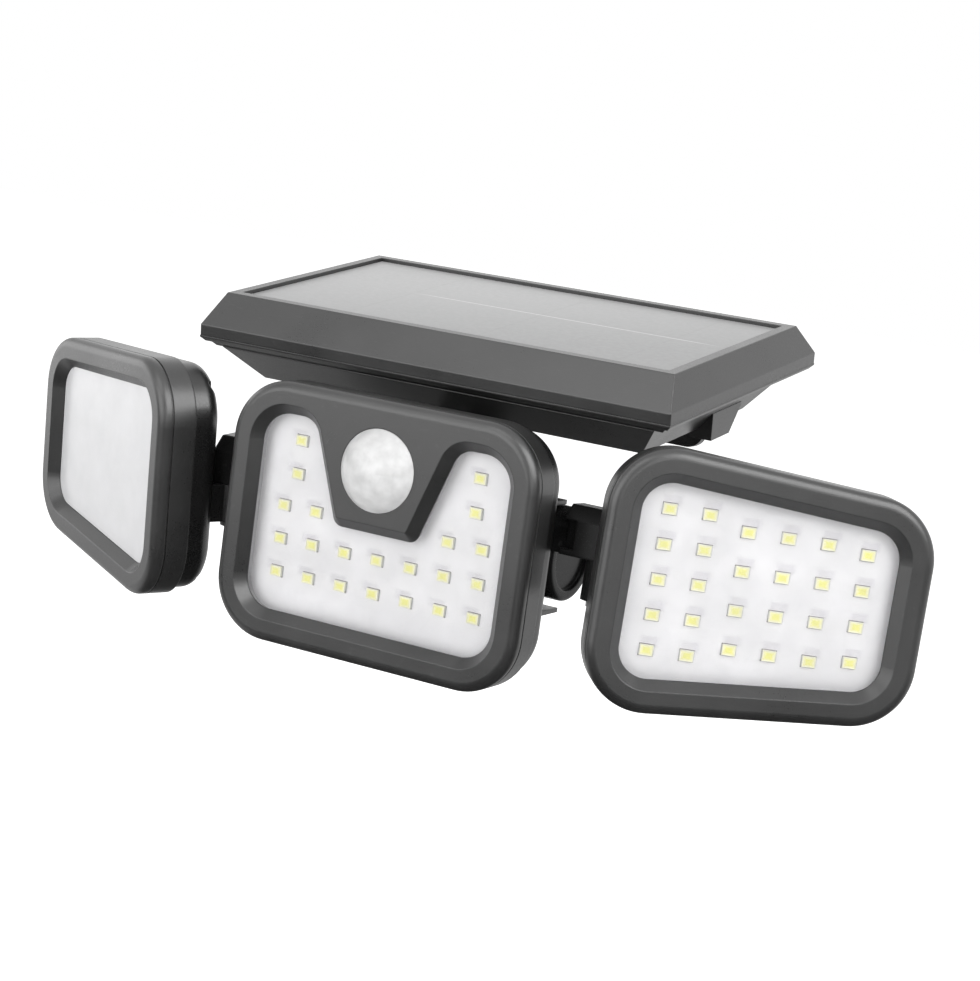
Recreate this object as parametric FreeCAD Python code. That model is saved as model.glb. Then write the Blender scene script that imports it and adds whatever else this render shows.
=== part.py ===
"""Three-headed solar security light with a motion sensor.

Millimetres. X is to the right seen from the front, Y runs back into the wall, Z is up.
The origin is the middle of the wall plate's back face, which lies on the wall.
The lamp hangs in front of the wall, so nearly all of it has negative Y.
"""
import FreeCAD, Part
import math
import os

V = FreeCAD.Vector

# ---------------------------------------------------------------- driving sizes
FIT = 0.05                    # radial running clearance of a pin in its bore
GAP = 0.3                     # clearance between faces that move past each other
LEVEL = 1e-4                  # edges closer than this to a plane lie in it

# wall bracket
PLATE_WIDTH = 74.0
PLATE_HEIGHT = 27.0
PLATE_THICK = 3.0
PLATE_CORNER = 5.0
WALL_HOLE_SPACING = 54.0
WALL_HOLE_RADIUS = 2.25
PIVOT_OUT = 18.0              # bracket pivot in front of the wall
PIVOT_UP = -0.5               # bracket pivot above the origin
PIVOT_BOSS = 7.0              # radius of the ears and of the arm's knuckle
KNUCKLE_HALF = 9.0            # half width of the arm's knuckle
WASHER_THICK = 0.8
WASHER_RADIUS = 5.5
EAR_THICK = 4.0
EAR_ROOT = 10.5               # half height of an ear at the plate
BOLT_RADIUS = 2.5
BOLT_HEAD_RADIUS = 4.5
BOLT_HEAD_THICK = 3.0
BOLT_TAIL = 6.0               # bolt beyond the far ear
NUT_RADIUS = 4.6              # across the corners, from the middle
NUT_THICK = 4.0
SLOT_WIDTH = 0.8              # driver slots
SLOT_DEPTH = 0.8

# solar panel housing, laid out in its own tilted frame:
# origin at the middle of its lower front edge, Y back, Z out of the laminate
PANEL_PITCH = 8.5             # degrees, the panel slopes down to the front
PANEL_WIDTH = 142.0
PANEL_DEPTH = 92.5
PANEL_TO_WALL = 11.5          # room left behind the panel for the bracket
PANEL_FRONT_OUT = PANEL_DEPTH + PANEL_TO_WALL    # lower front edge in front of the wall
PANEL_FRONT_UP = 2.5          # lower front edge above the origin
RIM_HEIGHT = 1.6              # tray rim
RIM_CHAMFER = 1.1
BAND_TOP = 4.6                # top of the frame's upright band
FRAME_TOP = 12.8
BEVEL_SIDE = 3.3
BEVEL_FRONT = 7.6
BEVEL_BACK = 7.5
FRAME_LIP = 3.0               # flat rim round the laminate
FRAME_ROUND = 0.4             # softened outer edges
FRAME_WALL = 2.2
SPIGOT_TOP = 3.6              # tray spigot that centres the frame
SPIGOT_WALL = 1.6
LAMINATE_SINK = 1.0           # laminate face below the rim
LAMINATE_THICK = 2.4
LEDGE_THICK = 1.4
LEDGE_WIDTH = 3.0
LAMINATE_PLAY = 0.2

# belly under the tray
LIP_DROP = 1.3
LIP_SET_IN = 2.0
LIP_TAPER = 1.3
BELLY_SET_IN = 5.5            # belly wall in from the tray's sides, at its top
BELLY_FRONT_SET = 3.0
BELLY_BACK_SET = 8.0
BELLY_DROP = 10.5
BELLY_SIDE_SLOPE = 7.5        # how far the slopes run in
BELLY_FRONT_SLOPE = 10.0
BELLY_BACK_SLOPE = 9.0
BELLY_WALL = 2.0
SLOPE_WALL = 2.6              # level thickness of the sloped walls

# battery box across the belly
BOX_WIDTH = 124.0
BOX_TO_BACK = 46.0            # box's front edge before the panel's back edge
BOX_FRONT = PANEL_DEPTH - BOX_TO_BACK
BOX_CLEAR = 7.5               # from the box to what lies in front of it
BOX_FLAT = 11.5               # length of its flat bottom
BOX_DROP = 13.2
BOX_BACK_SLOPE = 6.5
BOX_WALL = 1.5
BAY_LENGTH = 72.0             # battery bay opening in the belly's floor
BAY_DEPTH = 11.0
COVER_SCREW_X = 48.0
CELL_RADIUS = 9.2
CELL_LENGTH = 65.0
CELL_CLEAR = 0.4              # cell below the laminate
CELL_CAP = 1.6
CELL_CAP_RADIUS = 3.7
HOLDER_WALL = 1.2
HOLDER_END = 2.4
HOLDER_END_HALF = 6.2
HOLDER_CUT = 4.0              # cradle's edge below the cell's axis
HOLDER_WAY = 1.0              # relief in its base over the bay
BOARD_THICK = 1.6
CHARGE_BOARD_LEFT = -26.0
CHARGE_BOARD_RIGHT = 50.0
CHARGE_BOARD_DEPTH = 19.0
CHARGE_BOARD_FRONT = BOX_FRONT - BOX_CLEAR - CHARGE_BOARD_DEPTH
POST_RADIUS = 2.4
POST_SET = 3.4                # posts in from the board's edges
POST_TALL = 4.0               # screw posts above the belly's floor
TRAY_SCREW_SET = 5.3          # tray screws in from the back edge
TRAY_SCREW_SPREAD = (-60.0, -24.0, 24.0, 60.0)
TRAY_BOSS_TOP = 6.0
SWITCH_X = 40.0
SWITCH_Y = CHARGE_BOARD_FRONT + CHARGE_BOARD_DEPTH / 2
SWITCH_SIZE = 7.0
SWITCH_TALL = 5.0
BUTTON_RADIUS = 3.6
BUTTON_PROUD = 1.8
BUTTON_TRAVEL = 1.2
BUTTON_FLANGE = 1.2
BUTTON_REST = 0.1             # pressed button short of the switch

# arm to the bracket and neck to the heads
ARM_HALF = 14.0
ARM_PAD = 3.0
ARM_PAD_TO_BACK = 31.0        # pad's front edge before the panel's back edge
ARM_PAD_FRONT = PANEL_DEPTH - ARM_PAD_TO_BACK
ARM_PAD_LENGTH = 12.0
ARM_SCREW_X = 7.7
ARM_WEB_HALF = 7.2
ARM_WEB_START = 8.4           # web starts behind the pad's front edge
ARM_WEB_DROP = 6.6            # web's lower edge below the pivot
NECK_HALF = 16.0
NECK_RIB = 4.8                # half thickness of the neck between its pads
NECK_PAD_FRONT = 15.0
NECK_PAD_LENGTH = BOX_FRONT - BOX_CLEAR - NECK_PAD_FRONT
NECK_SCREW_X = 9.6

# hinge bar behind the centre head
TILT_BEHIND_PANEL = 13.8      # tilt axis behind the panel's lower front edge
TILT_OUT = PANEL_FRONT_OUT - TILT_BEHIND_PANEL   # tilt axis in front of the wall
TILT_UP = -35.35
DISC_RADIUS = 12.3
DISC_THICK = 6.0
DISC_ROUND = 1.2              # rounded outer edge of the disc
DISC_DISH = 1.2
DISC_DISH_RADIUS = 9.5
BAR_HALF = 36.8               # half length of the bar
BAR_WALL = 2.2
BAR_TALL = 10.0               # half height of the bar's trough
BAR_BACK = 9.5                # back of the trough behind the tilt axis
BAR_END_WALL = 4.0
BAR_FLANGE = 2.4              # round flange at each end, as big as the disc
SHELF_THICK = 1.2             # shelves that reach out over and under each disc
TOP_SHELF_REACH = 2.4
TOP_SHELF_GAP = 0.35          # above the disc
FOOT_SHELF_REACH = 4.2
FOOT_SHELF_GAP = 2.0          # below the disc
FOOT_SHELF_BACK = 0.5         # the foot shelf stops in front of the tilt axis
STUB_RADIUS = 4.0
TILT_SCREW_REACH = 7.0
BAR_BOSS_SPOTS = (-22.0, 22.0)
BAR_SCREW_REACH = 9.0
SCREW_SHANK = 1.3
SCREW_HEAD = 2.6
SCREW_HEAD_THICK = 1.6
CROSS_REACH = 1.6             # cross recess in the small screws
CROSS_HALF = 0.3
CROSS_DEPTH = 0.6
TILT_WASHER_RADIUS = 6.5

# swing hinge
PIN_OUT = 56.9                # swing pin from the middle of the lamp
PIN_FORWARD = 9.4             # swing pin in front of the tilt axis
PIN_RISE = 1.55               # joint face of the swing hinge above the tilt axis
BARREL_RADIUS = 5.0
BARREL_TOP = 12.8
BARREL_BOTTOM = 10.3
BARREL_CAP = 3.6              # solid over the pin's upper end
BLOCK_CHAMFER = 3.8           # sloped front edge on top of the knuckle's block
BLOCK_ROUND = 1.2
POCKET_IN = 1.4               # pocket in the block's front, from the disc's face
POCKET_OUT = 6.4
POCKET_DEPTH = 3.0
POCKET_WALL = 1.6
PIN_RADIUS = 2.0
PIN_HEAD_RADIUS = 3.4
PIN_HEAD = 1.6
HEAD_BESIDE_PIN = 35.7        # head centre beside the pin
HEAD_BEFORE_PIN = 19.7        # head's board face in front of the pin
RIGHT_TILT = 3.1              # degrees, as photographed
RIGHT_SWING = 33.0
LEFT_TILT = -4.3
LEFT_SWING = 29.0

# a head: Y = 0 is the face of its lamp board
HEAD_BEFORE_PANEL = 11.3      # board face in front of the panel's lower front edge
CENTRE_HEAD_OUT = PANEL_FRONT_OUT + HEAD_BEFORE_PANEL
CENTRE_HEAD_UP = -34.4
CENTRE_WIDTH = 91.0
CENTRE_TOP = 33.0
CENTRE_BOTTOM = -36.0
SIDE_WIDTH = 82.0
SIDE_HEIGHT = 61.6            # at the middle of the head
SIDE_SLOPE = 4.6              # degrees, top and bottom edges close towards the outside
HEAD_CORNER = 16.0
BEZEL_FRONT = 6.0             # ring face in front of the board face
BEZEL_BACK = 4.2              # seam behind the board face
SHELL_BACK = 12.5
BEZEL_WALL = 2.0
BEZEL_ROUND = 2.6
GROOVE_BACK = 3.4             # groove round the side wall, behind the ring face
GROOVE_WIDE = 0.5
GROOVE_DEEP = 0.4
WINDOW_SET = 8.5              # window edge in from the outline
BEVEL_RUN = 2.6
RING_THICK = 3.0
LENS_THICK = 1.5
LENS_MARGIN = 2.4
LENS_RIM = 1.4
SEAM = 0.6
SHELL_SET = 1.3
SHELL_WALL = 1.8
SHELL_ROUND = 4.0
SHELL_SPIGOT = 2.4
SHELL_SPIGOT_WALL = 1.3
LUG_WEB = 2.5                 # web between the rear shell and its barrel, beside the pin
BOSS_RADIUS = 2.1
SLEEVE_RADIUS = 2.8           # sleeves round the screws inside the rear shell
BOSS_REACH = 12.2             # screw boss from the corner's arc centre
CASE_SCREW_HEAD = 2.1
CASE_SCREW_HEAD_THICK = 1.4
BOSS_CAP = 1.0                # solid in front of a case screw's tip
CASE_SCREW_SINK = 4.4         # screw seats below the shell's back face
PILLAR_RADIUS = 2.5
PILLAR_X = 22.0               # pillars that press the lamp board forwards
PILLAR_Z = 15.0

# lamps and sensor
LED_WIDTH = 3.5
LED_HEIGHT = 2.8
LED_THICK = 0.8
CENTRE_PITCH = 10.0
CENTRE_ROW_PITCH = 8.86
CENTRE_TOP_ROWS_X = 26.9
SIDE_PITCH = 10.1
SIDE_COLUMNS = 6
SIDE_TALL_COLUMNS = 2         # columns of five lamps beside the hinge, the rest have four
SIDE_FIVE_ROW_PITCH = 8.8
SIDE_FOUR_ROW_PITCH = 9.8
SIDE_LAST_ROW_PITCH = 9.0
PIR_UP = 15.0
PIR_RADIUS = 10.8
PIR_RISE = 6.5
PIR_WALL = 1.0
PIR_FLANGE = 1.4
PIR_FLANGE_THICK = 1.2
PIR_CAN_RADIUS = 4.6
PIR_CAN_TALL = 4.2
BIB_HALF = 12.3               # half width of the sensor bib at its foot
BIB_FOOT = -1.7
BIB_LEAN = 0.36               # how much the bib widens per mm upwards
WINDOW_TOP = 24.5
LOBE_OUTER = 8.0
LOBE_INNER = 5.5
BIB_CORNER = 3.0


# ---------------------------------------------------------------- small helpers
def box(x0, x1, y0, y1, z0, z1):
    return Part.makeBox(x1 - x0, y1 - y0, z1 - z0, V(x0, y0, z0))


def rod(radius, start, direction, length):
    return Part.makeCylinder(radius, length, start, direction)


def join(shapes):
    whole = shapes[0]
    if len(shapes) > 1:
        whole = whole.fuse(shapes[1:])
    return whole.removeSplitter()


def cut(shape, tools):
    return shape.cut(tools).removeSplitter()


def side_face_prism(points, x0, x1):
    """A prism along X whose section is given as (y, z) points."""
    ring = [V(x0, y, z) for y, z in points]
    wire = Part.makePolygon(ring + [ring[0]])
    return Part.Face(wire).extrude(V(x1 - x0, 0, 0))


def frustum(low, high):
    """A tapered block between two level rectangles (x0, x1, y0, y1, z)."""
    wires = []
    for x0, x1, y0, y1, z in (low, high):
        ring = [V(x0, y0, z), V(x1, y0, z), V(x1, y1, z), V(x0, y1, z)]
        wires.append(Part.makePolygon(ring + [ring[0]]))
    return Part.makeLoft(wires, True, True)


def shifted_corners(corners, inset):
    """The corners of a polygon whose sides are moved inwards, corners anticlockwise."""
    count = len(corners)
    lines = []
    for i in range(count):
        ax, az = corners[i]
        bx, bz = corners[(i + 1) % count]
        length = math.hypot(bx - ax, bz - az)
        ux, uz = (bx - ax) / length, (bz - az) / length
        lines.append((ax - uz * inset, az + ux * inset, ux, uz))
    moved = []
    for i in range(count):
        px, pz, ux, uz = lines[i - 1]
        qx, qz, vx, vz = lines[i]
        along = ((qx - px) * vz - (qz - pz) * vx) / (ux * vz - uz * vx)
        moved.append((px + ux * along, pz + uz * along))
    return moved


def outline(corners, radii, inset, y):
    """A rounded wire in the plane at y, offset inwards from its corners."""
    moved = shifted_corners(corners, inset)
    count = len(moved)
    stops = []
    for i in range(count):
        corner = V(moved[i][0], y, moved[i][1])
        before = V(moved[i - 1][0], y, moved[i - 1][1])
        after = V(moved[(i + 1) % count][0], y, moved[(i + 1) % count][1])
        way_in = (corner - before).normalize()
        way_out = (after - corner).normalize()
        turns_left = way_in.x * way_out.z - way_in.z * way_out.x > 0
        radius = radii[i] - inset if turns_left else radii[i] + inset
        turn = way_in.getAngle(way_out)
        run = radius * math.tan(turn / 2)
        inward = (way_out - way_in).normalize()
        middle = corner + inward * (radius / math.cos(turn / 2) - radius)
        stops.append((corner - way_in * run, middle, corner + way_out * run))
    edges = []
    for i in range(count):
        start, middle, end = stops[i]
        edges.append(Part.Arc(start, middle, end).toShape())
        edges.append(Part.makeLine(end, stops[(i + 1) % count][0]))
    return Part.Wire(edges)


def slab(form, inset, y0, y1):
    """An upright plate of a head's outline from y0 back to y1."""
    corners, radii = form
    return Part.Face(outline(corners, radii, inset, y0)).extrude(V(0, y1 - y0, 0))


def taper(form, inset0, y0, inset1, y1):
    corners, radii = form
    wires = [outline(corners, radii, inset0, y0), outline(corners, radii, inset1, y1)]
    return Part.makeLoft(wires, True, True)


def edges_at_y(shape, y, least_length=0.0):
    found = []
    for edge in shape.Edges:
        bounds = edge.BoundBox
        if abs(bounds.YMin - y) < LEVEL and abs(bounds.YMax - y) < LEVEL and edge.Length > least_length:
            found.append(edge)
    return found


# ---------------------------------------------------------------- places
panel_place = FreeCAD.Placement(V(0, -PANEL_FRONT_OUT, PANEL_FRONT_UP),
                                FreeCAD.Rotation(V(1, 0, 0), PANEL_PITCH))
centre_place = FreeCAD.Placement(V(0, -CENTRE_HEAD_OUT, CENTRE_HEAD_UP), FreeCAD.Rotation())
mirror_x = V(1, 0, 0)


def knuckle_place(tilt):
    return FreeCAD.Placement(V(0, -TILT_OUT, TILT_UP), FreeCAD.Rotation(V(1, 0, 0), -tilt))


def head_place(side, tilt, swing):
    pin = FreeCAD.Placement(V(side * PIN_OUT, -PIN_FORWARD, PIN_RISE),
                            FreeCAD.Rotation(V(0, 0, 1), side * swing))
    head = FreeCAD.Placement(V(side * HEAD_BESIDE_PIN, -HEAD_BEFORE_PIN, 0), FreeCAD.Rotation())
    return knuckle_place(tilt).multiply(pin).multiply(head)


def placed(shape, place):
    moved = shape.copy()
    moved.Placement = place.multiply(moved.Placement)
    return moved


# ---------------------------------------------------------------- wall bracket
def wall_bracket():
    half = PLATE_WIDTH / 2
    tall = PLATE_HEIGHT / 2
    form = ([(-half, -tall), (half, -tall), (half, tall), (-half, tall)], [PLATE_CORNER] * 4)
    plate = slab(form, 0, -PLATE_THICK, 0)
    ear_in = KNUCKLE_HALF + WASHER_THICK
    pieces = [plate]
    for x0 in (ear_in, -ear_in - EAR_THICK):
        root = side_face_prism([(-PLATE_THICK, -EAR_ROOT), (-PLATE_THICK, EAR_ROOT),
                                (-PIVOT_OUT, PIVOT_UP + PIVOT_BOSS),
                                (-PIVOT_OUT, PIVOT_UP - PIVOT_BOSS)], x0, x0 + EAR_THICK)
        nose = rod(PIVOT_BOSS, V(x0, -PIVOT_OUT, PIVOT_UP), mirror_x, EAR_THICK)
        pieces += [root, nose]
    bracket = join(pieces)
    reach = ear_in + EAR_THICK
    holes = [rod(BOLT_RADIUS + FIT, V(-reach, -PIVOT_OUT, PIVOT_UP), mirror_x, 2 * reach)]
    for x in (-WALL_HOLE_SPACING / 2, WALL_HOLE_SPACING / 2):
        holes.append(rod(WALL_HOLE_RADIUS, V(x, -PLATE_THICK, 0), V(0, 1, 0), PLATE_THICK))
    return cut(bracket, holes)


def bracket_bolt():
    ear_out = KNUCKLE_HALF + WASHER_THICK + EAR_THICK
    shank = rod(BOLT_RADIUS, V(-ear_out - BOLT_TAIL, -PIVOT_OUT, PIVOT_UP), mirror_x,
                2 * ear_out + BOLT_TAIL)
    head = rod(BOLT_HEAD_RADIUS, V(ear_out, -PIVOT_OUT, PIVOT_UP), mirror_x, BOLT_HEAD_THICK)
    slot = box(ear_out + BOLT_HEAD_THICK - SLOT_DEPTH, ear_out + BOLT_HEAD_THICK,
               -PIVOT_OUT - BOLT_HEAD_RADIUS, -PIVOT_OUT + BOLT_HEAD_RADIUS,
               PIVOT_UP - SLOT_WIDTH / 2, PIVOT_UP + SLOT_WIDTH / 2)
    return cut(join([shank, head]), [slot])


def bracket_nut():
    ear_out = KNUCKLE_HALF + WASHER_THICK + EAR_THICK
    ring = []
    for i in range(6):
        angle = math.radians(60 * i)
        ring.append((-PIVOT_OUT + NUT_RADIUS * math.cos(angle),
                     PIVOT_UP + NUT_RADIUS * math.sin(angle)))
    body = side_face_prism(ring, -ear_out - NUT_THICK, -ear_out)
    bore = rod(BOLT_RADIUS, V(-ear_out - NUT_THICK, -PIVOT_OUT, PIVOT_UP), mirror_x, NUT_THICK)
    return cut(body, [bore])


def bracket_washers():
    washers = []
    for x0 in (KNUCKLE_HALF, -KNUCKLE_HALF - WASHER_THICK):
        disc = rod(WASHER_RADIUS, V(x0, -PIVOT_OUT, PIVOT_UP), mirror_x, WASHER_THICK)
        bore = rod(BOLT_RADIUS + FIT, V(x0, -PIVOT_OUT, PIVOT_UP), mirror_x, WASHER_THICK)
        washers.append(cut(disc, [bore]))
    return Part.makeCompound(washers)


# ---------------------------------------------------------------- solar panel housing
HALF = PANEL_WIDTH / 2
LAMINATE_UNDER = FRAME_TOP - LAMINATE_SINK - LAMINATE_THICK
DECK_UNDER = LAMINATE_UNDER - LEDGE_THICK
BELLY_FLOOR = BELLY_WALL - BELLY_DROP
CELL_UP = LAMINATE_UNDER - CELL_CLEAR - CELL_RADIUS
CELL_BACK = BOX_FRONT + BOX_WALL + BAY_DEPTH / 2
SCREW_POST_TOP = BELLY_FLOOR + POST_TALL
SWITCH_UNDER = BELLY_FLOOR + BUTTON_FLANGE + BUTTON_TRAVEL + BUTTON_REST
CHARGE_BOARD_UNDER = SWITCH_UNDER + SWITCH_TALL


def inset_rect(inset, z):
    return (inset - HALF, HALF - inset, inset, PANEL_DEPTH - inset, z)


def bevel_rect(wall, z):
    """The frame's bevelled outline at height z, less a wall."""
    share = (z - BAND_TOP) / (FRAME_TOP - BAND_TOP)
    side = HALF - share * BEVEL_SIDE - wall
    return (-side, side, share * BEVEL_FRONT + wall, PANEL_DEPTH - share * BEVEL_BACK - wall, z)


def belly_rect(wall, z):
    share = (-LIP_DROP - z) / (BELLY_DROP - LIP_DROP)
    side = HALF - BELLY_SET_IN - share * BELLY_SIDE_SLOPE - wall
    front = BELLY_FRONT_SET + share * BELLY_FRONT_SLOPE + wall
    back = PANEL_DEPTH - BELLY_BACK_SET - share * BELLY_BACK_SLOPE - wall
    return (-side, side, front, back, z)


def recess_box(inset, z0, z1):
    side = HALF - BEVEL_SIDE - FRAME_LIP - inset
    front = BEVEL_FRONT + FRAME_LIP + inset
    back = PANEL_DEPTH - BEVEL_BACK - FRAME_LIP - inset
    return box(-side, side, front, back, z0, z1)


def tray_screw_spots():
    return [(x, PANEL_DEPTH - TRAY_SCREW_SET) for x in TRAY_SCREW_SPREAD]


def panel_frame():
    band = frustum(inset_rect(0, RIM_HEIGHT), inset_rect(0, BAND_TOP))
    bevel = frustum(bevel_rect(0, BAND_TOP), bevel_rect(0, FRAME_TOP))
    hollow = [frustum(inset_rect(FRAME_WALL, RIM_HEIGHT), inset_rect(FRAME_WALL, BAND_TOP)),
              frustum(bevel_rect(FRAME_WALL, BAND_TOP), bevel_rect(FRAME_WALL, DECK_UNDER)),
              recess_box(0, LAMINATE_UNDER, FRAME_TOP),
              recess_box(LEDGE_WIDTH, DECK_UNDER, LAMINATE_UNDER)]
    outside = join([band, bevel])
    outside = outside.makeFillet(FRAME_ROUND, [edge for edge in outside.Edges
                                               if edge.BoundBox.ZMax > RIM_HEIGHT + FRAME_ROUND])
    frame = cut(outside, hollow)
    bosses = [rod(POST_RADIUS, V(x, y, RIM_HEIGHT), V(0, 0, 1), TRAY_BOSS_TOP - RIM_HEIGHT)
              for x, y in tray_screw_spots()]
    pilots = [rod(SCREW_SHANK, V(x, y, RIM_HEIGHT), V(0, 0, 1), TRAY_BOSS_TOP - RIM_HEIGHT)
              for x, y in tray_screw_spots()]
    return cut(join([frame] + bosses), pilots)


def solar_panel():
    return recess_box(LAMINATE_PLAY, LAMINATE_UNDER, LAMINATE_UNDER + LAMINATE_THICK)


def belly_solid():
    return frustum(belly_rect(0, -BELLY_DROP), belly_rect(0, -LIP_DROP))


def charge_board_posts():
    xs = (CHARGE_BOARD_LEFT + POST_SET, CHARGE_BOARD_RIGHT - POST_SET)
    ys = (CHARGE_BOARD_FRONT + POST_SET, CHARGE_BOARD_FRONT + CHARGE_BOARD_DEPTH - POST_SET)
    return [(x, y) for x in xs for y in ys]


def neck_screw_spots():
    middle = NECK_PAD_FRONT + NECK_PAD_LENGTH / 2
    return [(x, middle) for x in (-NECK_SCREW_X, NECK_SCREW_X)]


def arm_screw_spots():
    middle = ARM_PAD_FRONT + ARM_PAD_LENGTH / 2
    return [(x, middle) for x in (-ARM_SCREW_X, ARM_SCREW_X)]


def cover_screw_spots():
    return [(x, CELL_BACK) for x in (-COVER_SCREW_X, COVER_SCREW_X)]


def panel_tray():
    rim = frustum(inset_rect(0, 0), inset_rect(0, RIM_HEIGHT))
    lower_edges = [edge for edge in rim.Edges if edge.BoundBox.ZMax < LEVEL]
    rim = rim.makeChamfer(RIM_CHAMFER, lower_edges)
    spigot_in = FRAME_WALL + GAP
    spigot = cut(frustum(inset_rect(spigot_in, RIM_HEIGHT), inset_rect(spigot_in, SPIGOT_TOP)),
                 [frustum(inset_rect(spigot_in + SPIGOT_WALL, RIM_HEIGHT),
                          inset_rect(spigot_in + SPIGOT_WALL, SPIGOT_TOP))])
    spigot = cut(spigot, [rod(POST_RADIUS + GAP, V(x, y, RIM_HEIGHT), V(0, 0, 1), SPIGOT_TOP)
                          for x, y in tray_screw_spots()])
    lip = frustum(inset_rect(LIP_SET_IN + LIP_TAPER, -LIP_DROP), inset_rect(LIP_SET_IN, 0))
    hollow_top = belly_rect(SLOPE_WALL, -LIP_DROP)
    hollow = [frustum(belly_rect(SLOPE_WALL, BELLY_FLOOR), hollow_top),
              box(*hollow_top[:4], -LIP_DROP, RIM_HEIGHT),
              box(-BAY_LENGTH / 2, BAY_LENGTH / 2, CELL_BACK - BAY_DEPTH / 2,
                  CELL_BACK + BAY_DEPTH / 2, -BELLY_DROP, BELLY_FLOOR)]
    tray = cut(join([rim, spigot, lip, belly_solid()]), hollow)
    up = V(0, 0, 1)
    board_posts = [rod(POST_RADIUS, V(x, y, BELLY_FLOOR), up, CHARGE_BOARD_UNDER - BELLY_FLOOR)
                   for x, y in charge_board_posts()]
    fixings = neck_screw_spots() + arm_screw_spots() + cover_screw_spots()
    screw_posts = [rod(POST_RADIUS, V(x, y, BELLY_FLOOR), up, POST_TALL) for x, y in fixings]
    pilots = [rod(SCREW_SHANK, V(x, y, -BELLY_DROP), up, SCREW_POST_TOP + BELLY_DROP)
              for x, y in fixings]
    pilots += [rod(SCREW_SHANK, V(x, y, -LIP_DROP), up, LIP_DROP + RIM_HEIGHT)
               for x, y in tray_screw_spots()]
    button_hole = rod(BUTTON_RADIUS + GAP, V(SWITCH_X, SWITCH_Y, -BELLY_DROP), up, BELLY_WALL)
    return cut(join([tray] + board_posts + screw_posts), pilots + [button_hole])


def battery_cover():
    section = [(BOX_FRONT, -BOX_DROP), (BOX_FRONT + BOX_FLAT, -BOX_DROP),
               (BOX_FRONT + BOX_FLAT + BOX_BACK_SLOPE, BOX_BACK_SLOPE - BOX_DROP),
               (BOX_FRONT + BOX_FLAT + BOX_BACK_SLOPE, -LIP_DROP), (BOX_FRONT, -LIP_DROP)]
    block = side_face_prism(section, -BOX_WIDTH / 2, BOX_WIDTH / 2)
    bay = box(-BAY_LENGTH / 2, BAY_LENGTH / 2, CELL_BACK - BAY_DEPTH / 2,
              CELL_BACK + BAY_DEPTH / 2, BOX_WALL - BOX_DROP, -BELLY_DROP)
    up = V(0, 0, 1)
    tools = [belly_solid(), bay]
    for x, y in cover_screw_spots():
        tools.append(rod(SCREW_SHANK, V(x, y, -BOX_DROP), up, BOX_DROP - BELLY_DROP))
        tools.append(rod(SCREW_HEAD, V(x, y, -BOX_DROP), up, SCREW_HEAD_THICK))
    return cut(block, tools)


def screw_up(x, y, head_under, top):
    """A screw driven upwards, its head's lower face at head_under."""
    up = V(0, 0, 1)
    head = rod(SCREW_HEAD, V(x, y, head_under), up, SCREW_HEAD_THICK)
    shank = rod(SCREW_SHANK, V(x, y, head_under), up, top - head_under)
    bars = [box(x - half_x, x + half_x, y - half_y, y + half_y, head_under,
                head_under + CROSS_DEPTH)
            for half_x, half_y in ((CROSS_REACH, CROSS_HALF), (CROSS_HALF, CROSS_REACH))]
    return cut(join([head, shank]), bars)


def battery_cover_screws():
    return Part.makeCompound([screw_up(x, y, -BOX_DROP, SCREW_POST_TOP)
                              for x, y in cover_screw_spots()])


def tray_screws():
    return Part.makeCompound([screw_up(x, y, -LIP_DROP - SCREW_HEAD_THICK, TRAY_BOSS_TOP)
                              for x, y in tray_screw_spots()])


def neck_screws():
    under = -BELLY_DROP - ARM_PAD - SCREW_HEAD_THICK
    return Part.makeCompound([screw_up(x, y, under, SCREW_POST_TOP)
                              for x, y in neck_screw_spots()])


def mount_arm_screws():
    under = -BELLY_DROP - ARM_PAD
    return Part.makeCompound([screw_up(x, y, under, SCREW_POST_TOP)
                              for x, y in arm_screw_spots()])


def battery_cell():
    shoulder = CELL_LENGTH / 2 - CELL_CAP
    can = rod(CELL_RADIUS, V(-CELL_LENGTH / 2, CELL_BACK, CELL_UP), mirror_x,
              CELL_LENGTH - CELL_CAP)
    cap = rod(CELL_CAP_RADIUS, V(shoulder, CELL_BACK, CELL_UP), mirror_x, CELL_CAP)
    return join([can, cap])


def battery_holder():
    half = CELL_LENGTH / 2
    reach = CELL_RADIUS + HOLDER_WALL
    block = box(-half - HOLDER_END, half + HOLDER_END, CELL_BACK - reach, CELL_BACK + reach,
                BELLY_FLOOR, CELL_UP - HOLDER_CUT)
    ends = [box(x0, x0 + HOLDER_END, CELL_BACK - HOLDER_END_HALF, CELL_BACK + HOLDER_END_HALF,
                BELLY_FLOOR, CELL_UP + HOLDER_CUT) for x0 in (-half - HOLDER_END, half)]
    seat = rod(CELL_RADIUS, V(-half, CELL_BACK, CELL_UP), mirror_x, CELL_LENGTH)
    way = box(-half, half, CELL_BACK - BAY_DEPTH / 2, CELL_BACK + BAY_DEPTH / 2,
              BELLY_FLOOR, BELLY_FLOOR + HOLDER_WAY)
    return cut(join([block] + ends), [seat, way])


def charge_board():
    return box(CHARGE_BOARD_LEFT, CHARGE_BOARD_RIGHT, CHARGE_BOARD_FRONT,
               CHARGE_BOARD_FRONT + CHARGE_BOARD_DEPTH, CHARGE_BOARD_UNDER,
               CHARGE_BOARD_UNDER + BOARD_THICK)


def switch_body():
    reach = SWITCH_SIZE / 2
    return box(SWITCH_X - reach, SWITCH_X + reach, SWITCH_Y - reach, SWITCH_Y + reach,
               SWITCH_UNDER, CHARGE_BOARD_UNDER)


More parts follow.
